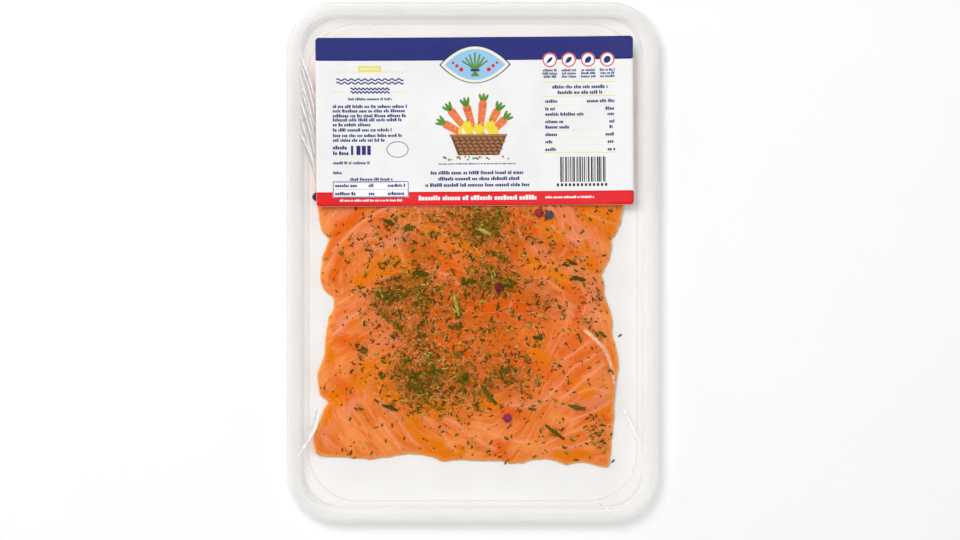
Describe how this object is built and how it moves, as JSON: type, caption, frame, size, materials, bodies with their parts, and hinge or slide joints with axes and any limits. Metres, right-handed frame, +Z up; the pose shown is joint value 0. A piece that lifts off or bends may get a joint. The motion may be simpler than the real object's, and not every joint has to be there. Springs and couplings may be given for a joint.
{
  "type": "sealed pack of sliced smoked salmon",
  "caption": "Flat clear tray with rounded corners, sealed under clear film, holding shingled slices of smoked salmon with chopped chives and pink peppercorns, with a plain paper label.",
  "frame": {"origin": "centre of the tray's flat base, on the surface the pack lies on", "axes": "+Z up out of the film, +Y towards the end with the label, +X to the right when the label is read"},
  "size_m": [0.2, 0.28, 0.0136],
  "materials": {
    "clear_tray": "clear, glossy",
    "clear_film": "clear, glossy, creased",
    "label_paper": "coated, slightly glossy",
    "fish": "moist"
  },
  "bodies": {
    "root": {"tray": "clear_tray", "slice_1": "fish", "slice_2": "fish", "slice_3": "fish", "slice_4": "fish", "slice_5": "fish", "film": "clear_film", "label": "label_paper"}
  },
  "joints": []
}
